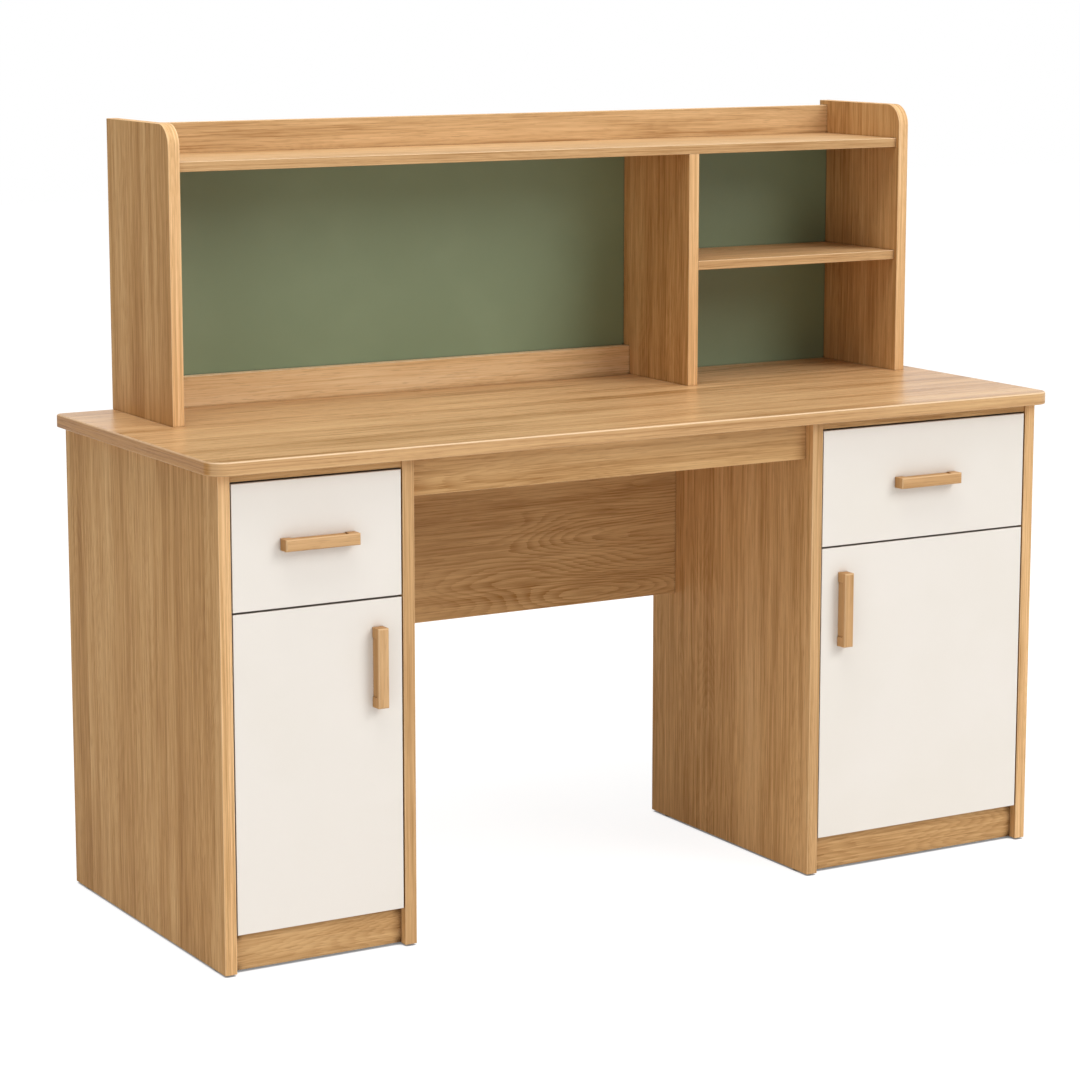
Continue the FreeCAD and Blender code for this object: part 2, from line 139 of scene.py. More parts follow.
def noise(tree, place, waves, detail=2.0, rough=0.5, output="Fac"):
    # noise with its own number of waves per metre along each axis
    node = tree.nodes.new("ShaderNodeTexNoise")
    node.inputs["Scale"].default_value = 1.0
    node.inputs["Detail"].default_value = detail
    node.inputs["Roughness"].default_value = rough
    tree.links.new(vectorCalc(tree, "MULTIPLY", place, waves), node.inputs["Vector"])
    return node.outputs[output]


def evenNoise(tree, place, waves, detail=2.0):
    return noise(tree, place, (waves, waves, waves), detail)


def swing(tree, value, amount=1.0):
    # how far a noise is from its middle, times amount
    return calc(tree, "MULTIPLY", calc(tree, "SUBTRACT", value, noiseMiddle), amount)


def mixValues(tree, dataType, share, first, second, blend="MIX"):
    node = tree.nodes.new("ShaderNodeMix")
    node.data_type = dataType
    node.blend_type = blend
    firstSocket, secondSocket, resultSocket = mixSockets[dataType]
    feed(tree, share, node.inputs[0])
    feed(tree, first, node.inputs[firstSocket])
    feed(tree, second, node.inputs[secondSocket])
    return node.outputs[resultSocket]


def mixColour(tree, share, first, second, blend="MIX"):
    return mixValues(tree, "RGBA", share, first, second, blend)


def axes(tree, vector):
    node = tree.nodes.new("ShaderNodeSeparateXYZ")
    tree.links.new(vector, node.inputs[0])
    return dict(zip("XYZ", node.outputs))


def place3(tree, along, across, through):
    node = tree.nodes.new("ShaderNodeCombineXYZ")
    for socket, value in zip(node.inputs, (along, across, through)):
        feed(tree, value, socket)
    return node.outputs[0]


def newFinish(name):
    # an empty material, with its tree, its shader and the coordinates for its patterns
    finish = bpy.data.materials.new(name)
    finish.use_nodes = True
    tree = finish.node_tree
    shader = tree.nodes["Principled BSDF"]
    coordinates = tree.nodes.new("ShaderNodeTexCoord")
    return finish, tree, shader, coordinates.outputs


# wear and painted highlight along the arrises, read from a rounded normal
wearAndHighlightPattern = {
    "samples": 4,
    "flat": 0.995, "arris": 0.85,        # how well the rounded normal agrees with the true one
    "noiseFrom": 0.35, "noiseTo": 0.65, "leastWearAndHighlight": 0.45,
}
# the painted shade in joints and gaps, read from ambient occlusion
creasePattern = {"samples": 4, "clear": 0.80, "shut": 0.45}      # shares of open space round a point


def edgeWearAndHighlight(tree, place, width, waves):
    # wear and painted highlight: 1 along the arrises, broken up by noise, 0 on the flats
    rounded = tree.nodes.new("ShaderNodeBevel")
    rounded.samples = wearAndHighlightPattern["samples"]
    rounded.inputs["Radius"].default_value = width
    surface = tree.nodes.new("ShaderNodeNewGeometry")
    match = vectorCalc(tree, "DOT_PRODUCT", rounded.outputs[0], surface.outputs["Normal"])
    onArris = spread(tree, match, wearAndHighlightPattern["flat"], wearAndHighlightPattern["arris"])
    patches = evenNoise(tree, place, waves)
    brokenUp = spread(
        tree, patches, wearAndHighlightPattern["noiseFrom"], wearAndHighlightPattern["noiseTo"], wearAndHighlightPattern["leastWearAndHighlight"], 1.0
    )
    return calc(tree, "MULTIPLY", onArris, brokenUp)


def paintedCreaseShade(tree, colour, reach, tint):
    # painted shade in the joints and gaps where pieces meet, none on open faces
    near = tree.nodes.new("ShaderNodeAmbientOcclusion")
    near.samples = creasePattern["samples"]
    near.inputs["Distance"].default_value = reach
    inCrease = spread(tree, near.outputs["AO"], creasePattern["clear"], creasePattern["shut"])
    return mixColour(tree, inCrease, colour, tint, "MULTIPLY")


def addBump(tree, shader, height, distance, strength):
    bump = tree.nodes.new("ShaderNodeBump")
    bump.inputs["Distance"].default_value = distance
    bump.inputs["Strength"].default_value = strength
    tree.links.new(height, bump.inputs["Height"])
    tree.links.new(bump.outputs["Normal"], shader.inputs["Normal"])


# Wood: one figure for every board, with the grain along X of the place it is given

woodFigure = {
    "staveWidth": 0.055,             # metres across one stave of a glued board
    "boardsPerMetre": 31.0,          # boards at other depths get other staves
    "chanceLayer": 0.5,
    "cutSpan": (9.0, 1.7, 0.0),      # metres of log that the staves come from, along, across and into it
    "wander": 0.016,                 # metres that the grain drifts from side to side
    "noises": {                      # waves per metre along the grain and across it, detail, roughness
        "wander": (1.2, 3.4, 1.0, 0.5),
        "band": (0.8, 5.3, 2.0, 0.5),
        "streak": (1.3, 27.0, 2.0, 0.5),
        "line": (3.2, 115.0, 3.0, 0.6),
        "fibre": (9.0, 400.0, 2.0, 0.6),
        "pore": (34.0, 620.0, 1.0, 0.5),
        "ring": (1.8, 10.5, 1.2, 0.5),
        "ringShown": (0.9, 3.1, 0.0, 0.5),
    },
    "ringLines": 36.0,               # cathedral figure
    "ringEdge": (0.30, 0.95), "ringShown": (0.42, 0.60), "poreEdge": (0.58, 0.70),
}


def buildWoodFigure(look):
    tree = bpy.data.node_groups.new("woodFigure", "ShaderNodeTree")
    tree.interface.new_socket("Place", in_out="INPUT", socket_type="NodeSocketVector")
    tree.interface.new_socket("Stave Place", in_out="INPUT", socket_type="NodeSocketFloat")
    tree.interface.new_socket("Ring Fray", in_out="INPUT", socket_type="NodeSocketFloat")
    source = tree.nodes.new("NodeGroupInput").outputs
    result = tree.nodes.new("NodeGroupOutput")

    def grainNoise(key, origin, output="Fac"):
        along, across, detail, rough = look["noises"][key]
        return noise(tree, origin, (along, across, across), detail, rough, output)

    stave = calc(tree, "FLOOR", calc(tree, "DIVIDE", source["Stave Place"], look["staveWidth"]))
    depth = axes(tree, source["Place"])["Z"]
    board = calc(tree, "FLOOR", calc(tree, "MULTIPLY", depth, look["boardsPerMetre"]))
    chance = tree.nodes.new("ShaderNodeTexWhiteNoise")
    tree.links.new(place3(tree, stave, board, look["chanceLayer"]), chance.inputs["Vector"])
    moved = vectorCalc(tree, "MULTIPLY", chance.outputs["Color"], look["cutSpan"])

    drift = grainNoise("wander", source["Place"], "Color")
    drift = vectorCalc(tree, "SUBTRACT", drift, (noiseMiddle, noiseMiddle, noiseMiddle))
    drift = vectorCalc(tree, "MULTIPLY", drift, (0.0, look["wander"], look["wander"]))
    bent = vectorCalc(tree, "ADD", source["Place"], drift)
    cut = vectorCalc(tree, "ADD", bent, moved)       # each stave is cut from another place of the log

    fibre = swing(tree, grainNoise("fibre", cut))
    ring = calc(tree, "MULTIPLY", grainNoise("ring", cut), look["ringLines"])
    ring = calc(tree, "FRACT", calc(tree, "MULTIPLY_ADD", fibre, source["Ring Fray"], ring))
    ringShown = spread(tree, grainNoise("ringShown", cut), *look["ringShown"])
    parts = {
        "Stave": calc(tree, "SUBTRACT", chance.outputs["Value"], noiseMiddle),
        "Band": swing(tree, grainNoise("band", bent)),
        "Streak": swing(tree, grainNoise("streak", cut)),
        "Line": swing(tree, grainNoise("line", cut)),
        "Fibre": fibre,
        "Ring": calc(tree, "MULTIPLY", spread(tree, ring, *look["ringEdge"]), ringShown),
        "Pore": spread(tree, grainNoise("pore", cut), *look["poreEdge"]),
    }
    for name, value in parts.items():
        tree.interface.new_socket(name, in_out="OUTPUT", socket_type="NodeSocketFloat")
        tree.links.new(value, result.inputs[name])
    return tree


figureTree = buildWoodFigure(woodFigure)

woodShading = {
    "face": 0.85, "edge": 0.55,              # how square on the thickness a board's face and edge are
    "stripStretch": 3.6, "stripDepth": 0.37,         # figure of the edge strip, across it and into the log
    "darkStop": 0.12, "middleStop": 0.5, "lightStop": 0.88,
    "wearHighlightWaves": 60.0,
    "slantFrom": 0.15, "slantTo": 0.42,      # the slant of a rounded arris
    "underFrom": -0.5, "underTo": -0.1,      # no painted highlight on undersides, which the lamps don't light
    # more painted highlight on arrises that face the front, towards the key light
    "frontFrom": -0.2, "frontTo": -0.6,
    "poreRoughness": 0.12, "fibreHeight": 0.5,
}
oakBoardLook = {
    "dark": paint(156, 109, 58), "middle": paint(201, 155, 101), "light": paint(229, 189, 136),
    "pore": paint(130, 90, 47), "poreShare": 0.22, "staved": 1.0,
    "tones": {"Stave": 0.20, "Band": 0.36, "Streak": 0.42, "Line": 0.66, "Fibre": 0.75, "Ring": -0.08},
    "ringFray": 1.6,                     # how far the fibres break the rings
    "cutFrom": (0.0, 0.0, 0.0),          # metres along, across and into the log that the board is cut from
    "edging": (1.38, 1.52, 1.84, 1.0), "edgingLine": 0.2,        # tint and lines of the strip round a board
    "end": (1.0, 1.0, 1.0, 1.0), "endFrom": 0.55,        # tint where the grain is cut (painted shade on the worktop's ends), and how square on
    # wear and painted highlight on the arrises: its colour, its share, more on the front, its width
    "wearHighlightColour": paint(243, 212, 170), "wearHighlightShare": 0.20, "frontHighlight": 0.15, "wearHighlightWidth": 0.0016,
    # painted shade in the joints and gaps: its tint and reach
    "crease": (0.50, 0.43, 0.36, 1.0), "creaseReach": 0.005,
    "roughness": 0.50, "roughnessSwing": 0.25, "specular": 0.05,
    "bumpDistance": 0.0004, "bumpStrength": 0.22,
}
railLook = dict(
    oakBoardLook, middle=paint(203, 160, 108), specular=0.12, staved=0.0,
    tones={"Stave": 0.0, "Band": 0.30, "Streak": 0.60, "Line": 0.60, "Fibre": 0.70, "Ring": -0.12},
)
plinthLook = dict(
    railLook, dark=paint(150, 105, 56), middle=paint(197, 154, 103), light=paint(223, 183, 131),
    crease=(0.18, 0.14, 0.10, 1.0), creaseReach=0.016,       # deep painted shade under the door's overhang
)
# a little lighter than the rail, painted light for the shaded knee space, with its own cathedral swirl
modestyLook = dict(
    railLook, dark=paint(160, 114, 63), middle=paint(207, 165, 113), light=paint(231, 193, 141),
    ringFray=0.5, cutFrom=(0.502, -0.117, 0.0),
    tones={"Stave": 0.0, "Band": 0.30, "Streak": 0.45, "Line": 0.60, "Fibre": 0.70, "Ring": -0.18},
)
shelfLook = dict(
    railLook, dark=paint(170, 125, 75), middle=paint(215, 174, 125), light=paint(237, 201, 153),
    # a pale painted highlight along the shelf's front arris
    edging=(0.90, 0.88, 0.85, 1.0), wearHighlightColour=paint(250, 226, 190), frontHighlight=0.35,
)
# a lighter, yellower copy of the upright's oak: painted light for the shaded knee space
kneeSideLook = dict(
    oakBoardLook, dark=paint(168, 122, 70), middle=paint(214, 169, 115), light=paint(239, 202, 150),
    edging=(0.99, 1.02, 1.12, 1.0),
)
hutchSideLook = dict(
    oakBoardLook,
    tones={"Stave": 0.09, "Band": 0.30, "Streak": 0.40, "Line": 0.66, "Fibre": 0.75, "Ring": -0.08},
)
galleryLook = dict(
    railLook, dark=paint(164, 120, 71), middle=paint(208, 170, 122), light=paint(231, 194, 146),
    tones={"Stave": 0.0, "Band": 0.35, "Streak": 0.80, "Line": 0.85, "Fibre": 0.90, "Ring": -0.05},
)
# a lighter copy of the gallery's oak: painted light for the bottom rail in the hutch's shade
bottomRailLook = dict(
    galleryLook, dark=paint(190, 145, 94), middle=paint(230, 192, 142), light=paint(244, 212, 167),
)
worktopLook = dict(
    railLook, middle=paint(212, 168, 119),
    # the worktop's ends darker and warmer: painted shade
    edging=(0.94, 0.93, 0.91, 1.0), edgingLine=0.0, end=(0.76, 0.60, 0.32, 1.0), endFrom=0.80,
    roughness=0.30, specular=0.17, bumpStrength=0.12,
    # a pale painted highlight along the worktop's front top arris
    wearHighlightColour=paint(250, 226, 190), wearHighlightShare=0.12, frontHighlight=0.42,
    tones={"Stave": 0.0, "Band": 0.6, "Streak": 1.0, "Line": 0.60, "Fibre": 0.75, "Ring": -0.05},
)
handleLook = dict(
    oakBoardLook, dark=paint(176, 129, 80), middle=paint(206, 163, 115), light=paint(228, 189, 143),
    edging=(0.88, 0.84, 0.78, 1.0), edgingLine=0.1, end=(0.88, 0.84, 0.78, 1.0),
    staved=0.0, roughness=0.46, wearHighlightWidth=0.0012,
    tones={"Stave": 0.0, "Band": 0.4, "Streak": 0.45, "Line": 0.5, "Fibre": 0.6, "Ring": -0.03},
)
birchLook = dict(
    oakBoardLook, dark=paint(208, 185, 149), middle=paint(226, 207, 176), light=paint(237, 222, 197),
    pore=paint(190, 163, 124), poreShare=0.18, edging=(1.10, 1.14, 1.20, 1.0), wearHighlightColour=paint(240, 230, 210),
    staved=0.0,
)
hardboardLook = dict(
    birchLook, dark=paint(196, 168, 129), middle=paint(214, 189, 154), light=paint(226, 206, 175),
    edging=(0.62, 0.55, 0.46, 1.0), roughness=0.55,
)


def woodFinish(name, look, grain, thin):
    # grain is the axis that the grain runs along, thin the axis through the board
    finish, tree, shader, coordinates = newFinish(name)
    shader.inputs["Specular IOR Level"].default_value = look["specular"]
    place = coordinates["Object"]
    at = axes(tree, place)
    facing = axes(tree, coordinates["Normal"])
    wide = ({"X", "Y", "Z"} - {grain, thin}).pop()
    through = calc(tree, "ABSOLUTE", facing[thin])       # 1 on a board's faces, 0 on its edges
    onEdge = spread(tree, through, woodShading["face"], woodShading["edge"])
    flat = vectorCalc(tree, "ADD", place3(tree, at[grain], at[wide], at[thin]), look["cutFrom"])
    along = calc(tree, "ADD", at[grain], at[wide])       # runs on unbroken round a board's corners
    across = calc(tree, "MULTIPLY", at[thin], woodShading["stripStretch"])
    strip = place3(tree, along, across, woodShading["stripDepth"])
    figure = tree.nodes.new("ShaderNodeGroup")
    figure.node_tree = figureTree
    tree.links.new(mixValues(tree, "VECTOR", onEdge, flat, strip), figure.inputs["Place"])
    figure.inputs["Ring Fray"].default_value = look["ringFray"]
    onFace = calc(tree, "MULTIPLY", calc(tree, "SUBTRACT", 1.0, onEdge), look["staved"])
    tree.links.new(calc(tree, "MULTIPLY", at[wide], onFace), figure.inputs["Stave Place"])

    tone = woodShading["middleStop"]
    for part, share in look["tones"].items():
        tone = calc(tree, "MULTIPLY_ADD", figure.outputs[part], share, tone)
    edgeLine = calc(tree, "MULTIPLY", onEdge, look["edgingLine"])
    tone = calc(tree, "MULTIPLY_ADD", figure.outputs["Line"], edgeLine, tone)
    ramp = tree.nodes.new("ShaderNodeValToRGB")
    stops = ramp.color_ramp.elements
    stops[0].position, stops[0].color = woodShading["darkStop"], look["dark"]
    stops[1].position, stops[1].color = woodShading["lightStop"], look["light"]
    stops.new(woodShading["middleStop"]).color = look["middle"]
    tree.links.new(tone, ramp.inputs["Fac"])
    pore = figure.outputs["Pore"]
    poreShare = calc(tree, "MULTIPLY", pore, look["poreShare"])
    colour = mixColour(tree, poreShare, ramp.outputs["Color"], look["pore"])

    colour = mixColour(tree, onEdge, colour, look["edging"], "MULTIPLY")
    # the tint on the ends: end grain, and painted shade on the worktop
    onEnd = spread(tree, calc(tree, "ABSOLUTE", facing[grain]), look["endFrom"], 1.0)
    colour = mixColour(tree, onEnd, colour, look["end"], "MULTIPLY")
    # wear and painted highlight on the arrises and their rounded slants, more on the front, none underneath
    sideways = calc(tree, "SQRT", calc(tree, "SUBTRACT", 1.0, calc(tree, "MULTIPLY", through, through)))
    slant = calc(tree, "MULTIPLY", through, sideways)
    onSlant = spread(tree, slant, woodShading["slantFrom"], woodShading["slantTo"])
    wornAndLit = edgeWearAndHighlight(tree, place, look["wearHighlightWidth"], woodShading["wearHighlightWaves"])
    wornAndLit = calc(tree, "MAXIMUM", wornAndLit, onSlant)
    notUnder = spread(tree, facing["Z"], woodShading["underFrom"], woodShading["underTo"])
    wornAndLit = calc(tree, "MULTIPLY", wornAndLit, notUnder)
    front = spread(
        tree, facing["Y"], woodShading["frontFrom"], woodShading["frontTo"], 0.0, look["frontHighlight"]
    )
    wornAndLit = calc(tree, "MULTIPLY", wornAndLit, calc(tree, "ADD", front, look["wearHighlightShare"]))
    colour = mixColour(tree, wornAndLit, colour, look["wearHighlightColour"])
    # painted shade in the joints and gaps
    colour = paintedCreaseShade(tree, colour, look["creaseReach"], look["crease"])
    tree.links.new(colour, shader.inputs["Base Color"])

    fibre = figure.outputs["Fibre"]
    gloss = calc(tree, "MULTIPLY_ADD", fibre, look["roughnessSwing"], look["roughness"])
    gloss = calc(tree, "MULTIPLY_ADD", pore, woodShading["poreRoughness"], gloss)
    tree.links.new(gloss, shader.inputs["Roughness"])
    height = calc(tree, "SUBTRACT", calc(tree, "MULTIPLY", fibre, woodShading["fibreHeight"]), pore)
    addBump(tree, shader, height, look["bumpDistance"], look["bumpStrength"])
    return finish


oakUpright = woodFinish("oakUpright", oakBoardLook, "Z", "X")
oakKneeSide = woodFinish("oakKneeSide", kneeSideLook, "Z", "X")
oakHutchSide = woodFinish("oakHutchSide", hutchSideLook, "Z", "X")
oakShelf = woodFinish("oakShelf", shelfLook, "X", "Z")
oakRail = woodFinish("oakRail", railLook, "X", "Y")
oakPlinth = woodFinish("oakPlinth", plinthLook, "X", "Y")
oakModesty = woodFinish("oakModesty", modestyLook, "X", "Y")
oakGallery = woodFinish("oakGallery", galleryLook, "X", "Y")
oakBottomRail = woodFinish("oakBottomRail", bottomRailLook, "X", "Y")
oakWorktop = woodFinish("oakWorktop", worktopLook, "X", "Z")
oakDrawerHandle = woodFinish("oakDrawerHandle", handleLook, "X", "Y")
oakDoorHandle = woodFinish("oakDoorHandle", handleLook, "Z", "Y")
birchSide = woodFinish("birchDrawerSide", birchLook, "Y", "X")
birchBack = woodFinish("birchDrawerBack", birchLook, "X", "Y")
hardboardBottom = woodFinish("hardboardDrawerBottom", hardboardLook, "X", "Z")
hardboardBack = woodFinish("hardboardBack", hardboardLook, "Z", "Y")
print("wood finishes made")


# Lacquer, enamel and plastic: a colour that clouds slightly, with a fine skin

whiteLook = {
    "colour": paint(236, 229, 220), "cloud": paint(234, 227, 217),
    "cloudWaves": 5.0, "cloudDetail": 3.0, "cloudEdge": (0.35, 0.65),
    "speck": paint(226, 218, 207), "speckShare": 0.10,
    "speckWaves": 900.0, "speckDetail": 1.0, "speckEdge": (0.55, 0.7),
    # wear and painted highlight on the arrises
    "wearHighlightColour": paint(244, 239, 232), "wearHighlightShare": 0.5, "wearHighlightWidth": 0.0016, "wearHighlightWaves": 45.0,
    # painted shade in the joints and gaps: its tint and reach
    "crease": (0.52, 0.47, 0.42, 1.0), "creaseReach": 0.005,
    "roughness": 0.36, "roughnessSwing": 0.12,
    "skinWaves": 520.0, "skinDetail": 1.0, "skinDistance": 0.0003, "skinStrength": 0.05,
}
sageLook = dict(
    whiteLook, colour=paint(128, 145, 113), cloud=paint(123, 140, 108), speck=paint(112, 129, 98),
    speckShare=0.22, wearHighlightColour=paint(144, 158, 127), roughness=0.52, skinStrength=0.08,
)
enamelLook = dict(
    whiteLook, colour=paint(233, 231, 225), cloud=paint(227, 225, 219), speck=paint(210, 208, 202),
    wearHighlightColour=paint(242, 241, 237), wearHighlightWidth=0.0006, roughness=0.30, skinWaves=900.0, skinStrength=0.10,
)
nylonLook = dict(
    whiteLook, colour=paint(226, 223, 212), cloud=paint(218, 214, 201), cloudWaves=60.0,
    speck=paint(200, 196, 184), wearHighlightColour=paint(238, 236, 228), wearHighlightWidth=0.0008,
    roughness=0.44, skinWaves=1500.0,
)
glideLook = dict(
    whiteLook, colour=paint(56, 52, 48), cloud=paint(48, 45, 42), cloudWaves=40.0,
    speck=paint(74, 70, 66), speckShare=0.35, wearHighlightColour=paint(92, 88, 83), wearHighlightWidth=0.0008,
    roughness=0.55, skinWaves=1400.0, skinStrength=0.25,
)


def coatedFinish(name, look):
    finish, tree, shader, coordinates = newFinish(name)
    place = coordinates["Object"]
    cloud = evenNoise(tree, place, look["cloudWaves"], look["cloudDetail"])
    speck = evenNoise(tree, place, look["speckWaves"], look["speckDetail"])
    colour = mixColour(tree, spread(tree, cloud, *look["cloudEdge"]), look["colour"], look["cloud"])
    speckled = calc(tree, "MULTIPLY", spread(tree, speck, *look["speckEdge"]), look["speckShare"])
    colour = mixColour(tree, speckled, colour, look["speck"])
    # wear and painted highlight along the arrises
    wornAndLit = edgeWearAndHighlight(tree, place, look["wearHighlightWidth"], look["wearHighlightWaves"])
    colour = mixColour(tree, calc(tree, "MULTIPLY", wornAndLit, look["wearHighlightShare"]), colour, look["wearHighlightColour"])
    # painted shade in the joints and gaps
    colour = paintedCreaseShade(tree, colour, look["creaseReach"], look["crease"])
    tree.links.new(colour, shader.inputs["Base Color"])
    gloss = calc(tree, "ADD", swing(tree, cloud, look["roughnessSwing"]), look["roughness"])
    tree.links.new(gloss, shader.inputs["Roughness"])
    skin = evenNoise(tree, place, look["skinWaves"], look["skinDetail"])
    addBump(tree, shader, skin, look["skinDistance"], look["skinStrength"])
    return finish


whiteLacquer = coatedFinish("whiteLacquer", whiteLook)
sageLacquer = coatedFinish("sageLacquer", sageLook)
whiteEnamel = coatedFinish("whiteEnamel", enamelLook)
paleNylon = coatedFinish("paleNylon", nylonLook)
darkGlide = coatedFinish("darkGlide", glideLook)


# Plated steel and zinc: rolled along one axis, with dull patches

nickelLook = {
    "colour": paint(201, 199, 195), "dull": paint(168, 165, 160),
    "rollWaves": (60.0, 60.0, 900.0), "rollDetail": 2.0,
    "patchWaves": 45.0, "patchDetail": 3.0, "patchEdge": (0.42, 0.68), "patchShare": 0.7,
    "roughness": 0.27, "roughnessSwing": 0.35, "dullRoughness": 0.12,
    "bumpDistance": 0.0002, "bumpStrength": 0.08,
}
zincLook = dict(nickelLook, colour=paint(178, 177, 174), dull=paint(140, 138, 134), roughness=0.42)
nailLook = dict(nickelLook, colour=paint(190, 168, 122), dull=paint(150, 128, 88), roughness=0.34)


def platedFinish(name, look):
    finish, tree, shader, coordinates = newFinish(name)
    shader.inputs["Metallic"].default_value = 1.0
    place = coordinates["Object"]
    rolled = noise(tree, place, look["rollWaves"], look["rollDetail"])
    patch = evenNoise(tree, place, look["patchWaves"], look["patchDetail"])
    dulled = calc(tree, "MULTIPLY", spread(tree, patch, *look["patchEdge"]), look["patchShare"])
    colour = mixColour(tree, dulled, look["colour"], look["dull"])
    tree.links.new(colour, shader.inputs["Base Color"])
    gloss = calc(tree, "ADD", swing(tree, rolled, look["roughnessSwing"]), look["roughness"])
    gloss = calc(tree, "MULTIPLY_ADD", dulled, look["dullRoughness"], gloss)
    tree.links.new(gloss, shader.inputs["Roughness"])
    addBump(tree, shader, rolled, look["bumpDistance"], look["bumpStrength"])
    return finish


nickelSteel = platedFinish("nickelSteel", nickelLook)
zincCam = platedFinish("zincCam", zincLook)
brassedNail = platedFinish("brassedNail", nailLook)
print("coated and plated finishes made")


# Every node of the desk gets its finish, by the ends of the names

nodeFinishes = (
    (oakWorktop, ("worktop",)),
    (oakUpright, ("outer_side",)),
    (oakHutchSide, ("hutch_left_side", "hutch_right_side", "hutch_divider")),
    (oakKneeSide, ("inner_side",)),
    (oakShelf, ("hutch_top_shelf", "hutch_small_shelf")),
    (oakShelf, ("drawer_shelf", "cupboard_shelf", "cupboard_floor")),
    (oakRail, ("apron", "top_rail")),
    (oakPlinth, ("plinth",)),
    (oakModesty, ("modesty_panel",)),
    (oakGallery, ("gallery_rail",)),
    (oakBottomRail, ("bottom_rail",)),
    (oakDrawerHandle, ("drawer_handle",)),
    (oakDoorHandle, ("door_handle",)),
    (whiteLacquer, ("drawer_front", "_door")),
    (sageLacquer, ("hutch_back_panel",)),
    (birchSide, ("drawer_left_side", "drawer_right_side")),
    (birchBack, ("drawer_back",)),
    (hardboardBottom, ("drawer_bottom",)),
    (hardboardBack, ("left_back_panel", "right_back_panel")),
    (whiteEnamel, ("runner_channels", "drawer_rails")),
    (paleNylon, ("rollers",)),
    (nickelSteel, ("hinge_arms", "hinge_cups", "hinge_pins")),
    (darkGlide, ("floor_glides",)),
)
finished = set()
for finish, endings in nodeFinishes:
    for name in (name for name in nodes if name.endswith(endings)):
        slots = nodes[name].data.materials
        if not slots:
            slots.append(finish)
        for index in range(len(slots)):
            slots[index] = finish
        finished.add(name)
print("finishes on", len(finished), "of", len(nodes), "nodes")


# Screws, cams and nails: one tree sets a head with a cross recess on every seat

fastenerForm = {
    "headSides": 24,
    "slotHeight": 2.0,       # in recess depths, because half of a slot stands above the head
    "mostTurn": math.pi / 2,
}


def buildFastenerTree():
    tree = bpy.data.node_groups.new("fasteners", "GeometryNodeTree")
    tree.interface.new_socket("Seats", in_out="INPUT", socket_type="NodeSocketGeometry")
    for name in ("Head Radius", "Crown Radius", "Head Height",
                 "Recess Length", "Recess Width", "Recess Depth"):
        tree.interface.new_socket(name, in_out="INPUT", socket_type="NodeSocketFloat")
    tree.interface.new_socket("Turn Seed", in_out="INPUT", socket_type="NodeSocketInt")
    tree.interface.new_socket("Finish", in_out="INPUT", socket_type="NodeSocketMaterial")
    tree.interface.new_socket("Fasteners", in_out="OUTPUT", socket_type="NodeSocketGeometry")
    sizes = tree.nodes.new("NodeGroupInput").outputs
    result = tree.nodes.new("NodeGroupOutput")

    head = tree.nodes.new("GeometryNodeMeshCone")
    head.inputs["Vertices"].default_value = fastenerForm["headSides"]
    tree.links.new(sizes["Crown Radius"], head.inputs["Radius Top"])
    tree.links.new(sizes["Head Radius"], head.inputs["Radius Bottom"])
    tree.links.new(sizes["Head Height"], head.inputs["Depth"])

    carved = tree.nodes.new("GeometryNodeMeshBoolean")
    carved.solver = "EXACT"
    tree.links.new(head.outputs["Mesh"], carved.inputs["Mesh 1"])
    deep = calc(tree, "MULTIPLY", sizes["Recess Depth"], fastenerForm["slotHeight"])
    for length, width in (("Recess Length", "Recess Width"), ("Recess Width", "Recess Length")):
        slot = tree.nodes.new("GeometryNodeMeshCube")
        tree.links.new(place3(tree, sizes[length], sizes[width], deep), slot.inputs["Size"])
        raised = tree.nodes.new("GeometryNodeTransform")
        tree.links.new(slot.outputs["Mesh"], raised.inputs["Geometry"])
        tree.links.new(place3(tree, 0.0, 0.0, sizes["Head Height"]), raised.inputs["Translation"])
        tree.links.new(raised.outputs["Geometry"], carved.inputs["Mesh 2"])

    facing = tree.nodes.new("GeometryNodeInputNamedAttribute")
    facing.data_type = "FLOAT_VECTOR"
    facing.inputs["Name"].default_value = "facing"
    upright = tree.nodes.new("FunctionNodeAlignRotationToVector")
    upright.axis = "Z"
    tree.links.new(facing.outputs["Attribute"], upright.inputs["Vector"])
    chance = tree.nodes.new("FunctionNodeRandomValue")
    chance.data_type = "FLOAT"
    chance.inputs[3].default_value = fastenerForm["mostTurn"]        # input 3 is the largest number
    tree.links.new(sizes["Turn Seed"], chance.inputs["Seed"])
    turn = tree.nodes.new("FunctionNodeAxisAngleToRotation")
    tree.links.new(chance.outputs[1], turn.inputs["Angle"])          # output 1 is the number
    turned = tree.nodes.new("FunctionNodeRotateRotation")
    turned.rotation_space = "LOCAL"
    tree.links.new(upright.outputs["Rotation"], turned.inputs["Rotation"])
    tree.links.new(turn.outputs["Rotation"], turned.inputs["Rotate By"])

    placed = tree.nodes.new("GeometryNodeInstanceOnPoints")
    tree.links.new(sizes["Seats"], placed.inputs["Points"])
    tree.links.new(carved.outputs["Mesh"], placed.inputs["Instance"])
    tree.links.new(turned.outputs["Rotation"], placed.inputs["Rotation"])
    real = tree.nodes.new("GeometryNodeRealizeInstances")
    tree.links.new(placed.outputs["Instances"], real.inputs["Geometry"])
    coloured = tree.nodes.new("GeometryNodeSetMaterial")
    tree.links.new(real.outputs["Geometry"], coloured.inputs["Geometry"])
    tree.links.new(sizes["Finish"], coloured.inputs["Material"])
    tree.links.new(coloured.outputs["Geometry"], result.inputs["Fasteners"])
    return tree


fastenerTree = buildFastenerTree()


def seat(nodeName, start, direction):
    # the point of a node that a line from start meets first, and the way back along that line
    met, place = nodes[nodeName].ray_cast(Vector(start), Vector(direction))[:2]
    if not met:
        raise ValueError("no seat on " + nodeName)
    return place, -Vector(direction)


